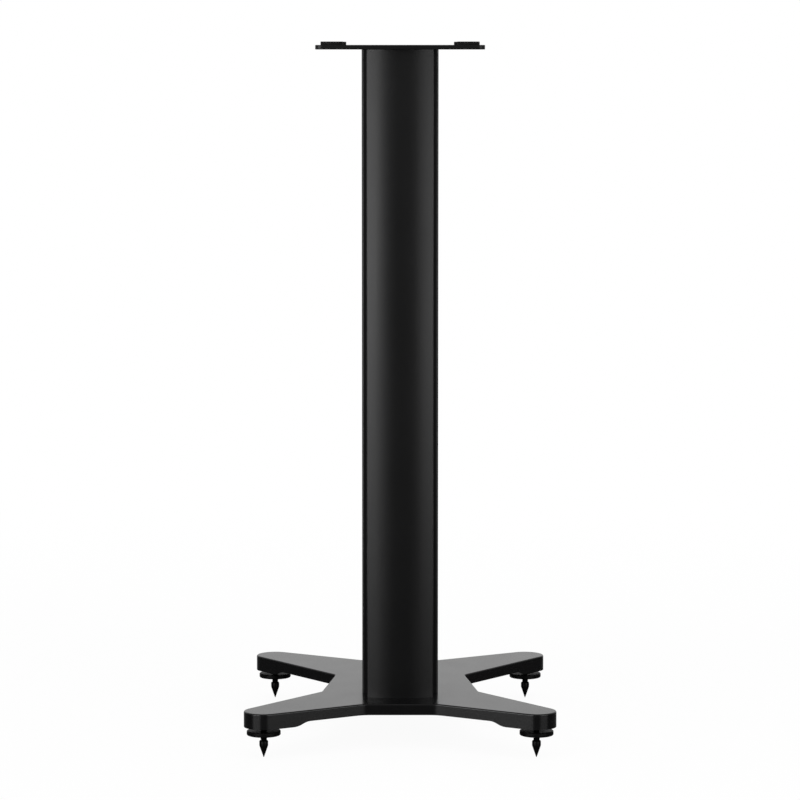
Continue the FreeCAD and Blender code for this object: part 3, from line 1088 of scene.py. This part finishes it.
@dataclass(frozen=True)
class Studio:
    """A white room: pale floor, pale surroundings, soft boxes, cards and the camera.

    Attributes:
        camera: Where the camera is.
        tilt: How far it looks down, in degrees.
        lens: Its focal length, in millimetres.
        sensor: The width of its frame, in millimetres.
        clip: The nearest and the farthest distance that it sees.
        floor_reach: Half the floor's width.
        floor_colour: The floor's own colour.
        floor_glow: Share of the floor by the stand that shows as plain white.
        shadow_reach: Where the floor starts to fade to plain white, and where it ends.
        floor_mirrored: The floor's own brightness as gloss sees it, in front of the
            stand and behind it.
        lit_reach: Where the floor beside the stand starts to be lit from behind, and
            where it is fully lit.
        lit_slant: How much a step backwards counts against a step sideways in that.
        floor_polish: How much of the room the floor mirrors, as gloss sees it, by the
            stand and away from it.
        floor_roughness: How rough that mirror is.
        room_light: Strength of the surroundings as light.
        room_mirrored: Their strength as gloss sees them.
        boxes: The soft boxes.
        cards: The cards.
    """

    camera: Point = (-0.0001, -3.0956, 0.6246)
    tilt: float = 5.944
    lens: float = 153.27
    sensor: float = 36.0
    clip: Span = (0.05, 200.0)
    floor_reach: float = 40.0
    floor_colour: Colour = (0.9, 0.9, 0.9)
    floor_glow: float = 0.95
    shadow_reach: Span = (0.35, 1.6)
    floor_mirrored: Span = (0.10, 1.0)
    lit_reach: Span = (0.50, 1.30)
    lit_slant: float = 0.8
    floor_polish: Span = (0.19, 0.27)
    floor_roughness: float = 0.1
    room_light: float = 0.45
    room_mirrored: float = 0.96
    boxes: Sequence[SoftBox] = field(default_factory=lambda: [
        SoftBox("left_box", -37.0, 0.95, 2.4, (1.6, 1.7), 22.0),
        SoftBox("right_box", 41.0, 0.95, 2.4, (1.5, 1.7), 19.0),
        SoftBox("top_box", 0.0, 3.2, 0.8, (2.4, 2.4), 30.0),
        SoftBox("rear_box", 160.0, 1.8, 2.6, (1.6, 1.6), 20.0),
    ])
    cards: Sequence[Card] = field(default_factory=lambda: [
        Card("left_card", (-1.2, -3.4), (-1.2, -0.62), 0.72, 16.2),
        Card("right_card", (1.2, -3.1), (1.2, -0.62), 0.64, 10.2),
        Card("left_flag", (-1.2, -0.6), (-1.2, 1.4), 0.30, 0.06),
        Card("right_flag", (1.2, -0.6), (1.2, 1.4), 0.30, 0.06),
    ])

    @staticmethod
    def rays(recipe: Recipe) -> tuple[Term, Term]:
        """Tells the kinds of ray apart.

        Args:
            recipe: The node tree.

        Returns:
            1 for a ray straight from the camera or through glass, and 1 for a ray
            from gloss.
        """
        path = recipe.add("ShaderNodeLightPath")
        seen = path.part("Is Camera Ray").largest(path.part("Is Transmission Ray"))
        return seen, path.part("Is Glossy Ray")

    def floor(self) -> None:
        """Lays the floor: white with a faint shadow to look at, dim and polished to
        gloss, and nothing at all from below."""
        reach = self.floor_reach
        _, recipe = backdrop("studio_floor", [(-reach, -reach, 0.0), (reach, -reach, 0.0),
                                              (reach, reach, 0.0), (-reach, reach, 0.0)])
        seen, mirrored = self.rays(recipe)
        x, y, _ = recipe.axes(recipe.place())
        distance = (x * x + y * y).root()
        away = recipe.ramp(distance, self.shadow_reach, (self.floor_glow, 1.0))
        plain = recipe.add("ShaderNodeBsdfDiffuse", inputs={"Color": (*self.floor_colour, 1.0)})
        looked_at = recipe.blend(seen * away, plain, recipe.glow(1.0))
        unlit, lit = (recipe.glow(strength) for strength in self.floor_mirrored)
        dim = recipe.blend(recipe.ramp(abs(x) + y * self.lit_slant, self.lit_reach), unlit, lit)
        polish = recipe.add("ShaderNodeBsdfGlossy", inputs={"Roughness": self.floor_roughness})
        share = recipe.ramp(distance, self.shadow_reach, self.floor_polish)
        sheen = recipe.blend(share, dim, polish)
        upper = recipe.blend(mirrored, looked_at, sheen)
        below = recipe.add("ShaderNodeNewGeometry", output="Backfacing")
        recipe.finish("ShaderNodeOutputMaterial", "Surface", recipe.blend(
            below * seen, upper, recipe.add("ShaderNodeBsdfTransparent")))

    def room(self) -> None:
        """Makes the surroundings: dim as light, white to look at."""
        world = bpy.data.worlds.new("studio_room")
        bpy.context.scene.world = world
        world.use_nodes = True
        world.node_tree.nodes.clear()
        recipe = Recipe(world.node_tree)
        seen, mirrored = self.rays(recipe)
        strength = seen.largest(mirrored * self.room_mirrored).largest(self.room_light)
        recipe.finish("ShaderNodeOutputWorld", "Surface", recipe.add(
            "ShaderNodeBackground", inputs={"Color": (1.0, 1.0, 1.0, 1.0), "Strength": strength}))

    def viewpoint(self) -> None:
        """Sets the camera up."""
        data = bpy.data.cameras.new("camera")
        data.lens = self.lens
        data.sensor_width = self.sensor
        data.clip_start, data.clip_end = self.clip
        camera = bpy.data.objects.new("camera", data)
        camera.location = self.camera
        camera.rotation_euler = (math.radians(90.0 - self.tilt), 0.0, 0.0)
        bpy.context.scene.collection.objects.link(camera)
        bpy.context.scene.camera = camera

    def build(self) -> None:
        """Builds the room round the stand."""
        self.floor()
        self.room()
        for item in (*self.boxes, *self.cards):
            item.build()
            LOG.info("studio: %s", item.name)
        self.viewpoint()
        bpy.context.scene.view_settings.view_transform = "Standard"


def main() -> None:
    """Builds the dressed stand and its studio, and reports each piece."""
    logging.basicConfig(level=logging.INFO, format="%(name)s: %(message)s")
    groups: list[SubAssembly] = [Pillar(), Platform(), *(Foot(arm) for arm in Arm)]
    for group in groups:
        for piece in group.build():
            LOG.info("%s: %d faces, %s", piece.name, len(piece.data.polygons),
                     piece.data.materials[0].name)
    Studio().build()
    bpy.context.view_layer.update()


if __name__ == "__main__":
    main()
